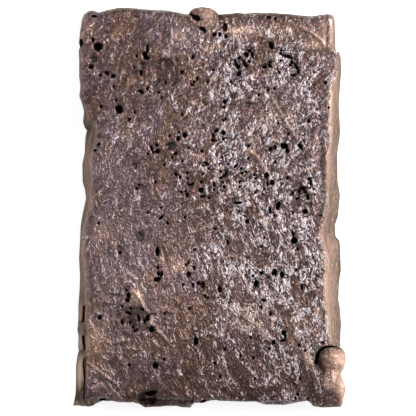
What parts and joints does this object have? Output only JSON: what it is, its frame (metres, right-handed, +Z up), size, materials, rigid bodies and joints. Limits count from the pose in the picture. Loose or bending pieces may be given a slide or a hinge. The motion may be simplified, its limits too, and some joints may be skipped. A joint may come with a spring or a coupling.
{
  "type": "copper ingot",
  "caption": "Rough open-mould copper ingot: a flat slab with a pitted, crinkled face, drafted sides, a folded corner drop and a small end lug.",
  "frame": {"origin": "on the floor, at the middle of the bounding box of the casting's outline", "axes": "+Z up from the flat foot to the rough face, +Y along the ingot towards the end with the lug, +X across it towards the side with the corner drop"},
  "size_m": [0.1026, 0.1502, 0.0221],
  "materials": {
    "cast_copper": "as-cast copper with a thin brown and purple oxide skin, crinkled and pitted"
  },
  "bodies": {
    "root": {"ingot": "cast_copper"}
  },
  "joints": []
}
